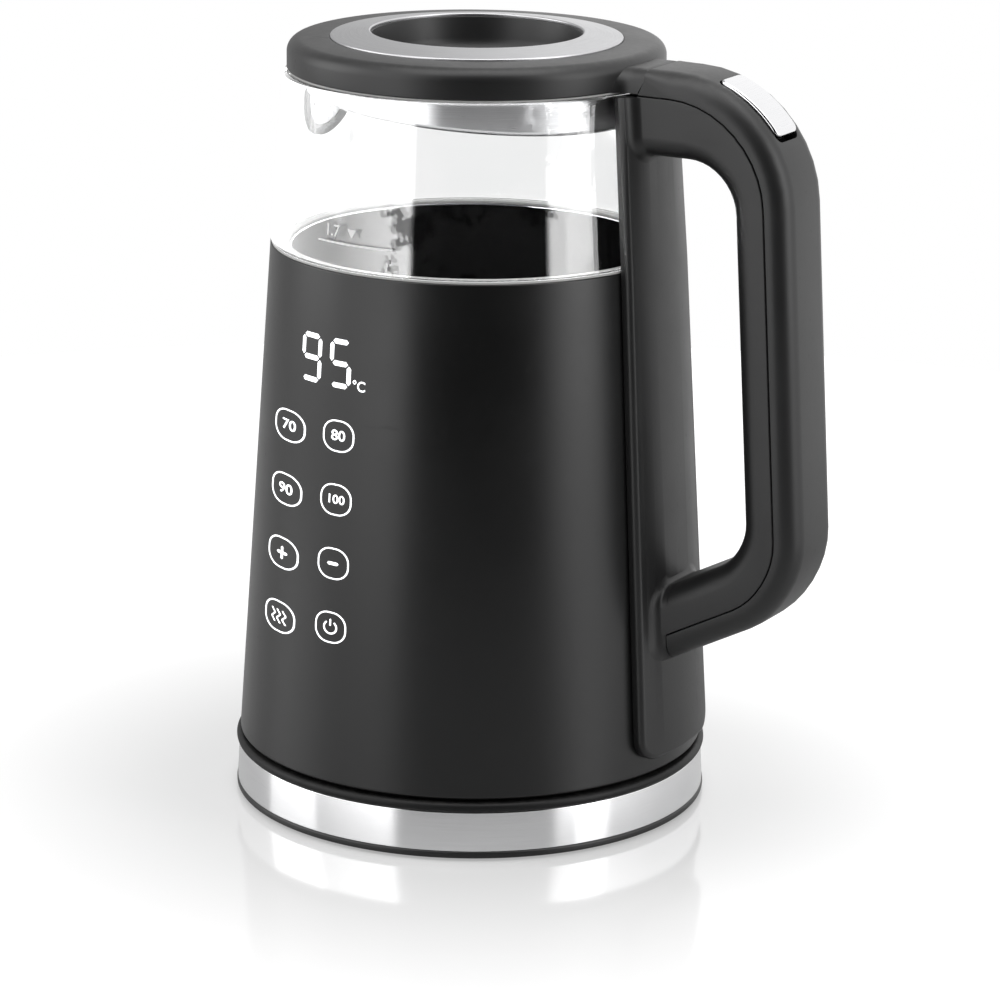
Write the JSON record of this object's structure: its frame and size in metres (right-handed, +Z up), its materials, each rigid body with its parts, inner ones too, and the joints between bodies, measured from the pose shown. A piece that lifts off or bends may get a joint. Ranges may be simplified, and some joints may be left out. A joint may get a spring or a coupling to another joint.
{
  "type": "electric kettle",
  "caption": "Cordless electric jug kettle with a glass crown, hinged lid, touch panel and loop handle, lifting off a round swivel power base.",
  "frame": {"origin": "on the table, on the axis of the jug and of the power base", "axes": "+Z up along the jug's axis, +X towards the handle, -X towards the pouring lip, +Y towards the cord gland"},
  "size_m": [0.1951, 0.1512, 0.2436],
  "materials": {
    "black_plastic": "fine matt moulding",
    "polished_steel": "polished",
    "satin_steel": "satin",
    "clear_glass": "clear",
    "grey_silicone": "matt",
    "black_rubber": "matt",
    "connector_plastic": "plain moulding",
    "filter_plastic": "plain moulding",
    "contact_brass": "plain",
    "heater_metal": "plain",
    "white_ceramic": "plain",
    "circuit_board": "plain",
    "lit_display": "plain"
  },
  "bodies": {
    "base": {"base_bottom_cover": "black_plastic", "base_steel_band": "polished_steel", "base_top_cover": "black_plastic", "base_rubber_feet": "black_rubber", "base_screws": "satin_steel", "cord_gland": "black_rubber", "base_connector": "connector_plastic", "contact_sleeves": "contact_brass"},
    "swivel": {"connector_shutter": "connector_plastic"},
    "kettle": {"outer_jacket": "black_plastic", "bottom_cover": "black_plastic", "bottom_screws": "satin_steel", "socket_connector": "connector_plastic", "socket_contacts": "contact_brass", "heating_plate": "heater_metal", "heating_element": "heater_metal", "thermal_cutouts": "white_ceramic", "temperature_probe": "heater_metal", "power_board": "circuit_board", "touch_board": "circuit_board", "display_module": "lit_display", "inner_pot": "satin_steel", "glass_seal": "grey_silicone", "glass_wall": "clear_glass", "spout_filter_frame": "filter_plastic", "spout_filter_mesh": "satin_steel", "handle_frame": "black_plastic", "handle_cover": "black_plastic", "handle_screws": "satin_steel", "hinge_pin": "satin_steel", "latch_spring": "satin_steel"},
    "lid": {"lid_top": "black_plastic", "lid_steel_ring": "satin_steel", "lid_liner": "satin_steel", "lid_seal": "grey_silicone"},
    "button": {"release_button": "polished_steel"},
    "latch": {"latch_slide": "connector_plastic"}
  },
  "joints": [
    {"name": "kettle_swivel", "type": "hinge", "parent": "base", "child": "swivel", "pos_m": [0, 0, 0], "axis": [0, 0, 1], "continuous": true},
    {"name": "kettle_lift", "type": "slide", "parent": "swivel", "child": "kettle", "axis": [0, 0, 1], "range_m": [0, 0.06]},
    {"name": "lid_hinge", "type": "hinge", "parent": "kettle", "child": "lid", "pos_m": [0.0627, 0, 0.2365], "axis": [0, 1, 0], "range_deg": [0, 80]},
    {"name": "button_press", "type": "slide", "parent": "kettle", "child": "button", "axis": [-0.6018, 0, -0.7986], "range_m": [0, 0.002], "stiffness_N_per_m": 600, "springref_m": -0.001},
    {"name": "latch_draw", "type": "slide", "parent": "kettle", "child": "latch", "axis": [1, 0, 0], "range_m": [0, 0.0012], "deforming": ["latch_spring"]}
  ],
  "couplings": [
    {"joint": "latch_draw", "follows": "button_press", "ratio": 0.6}
  ]
}
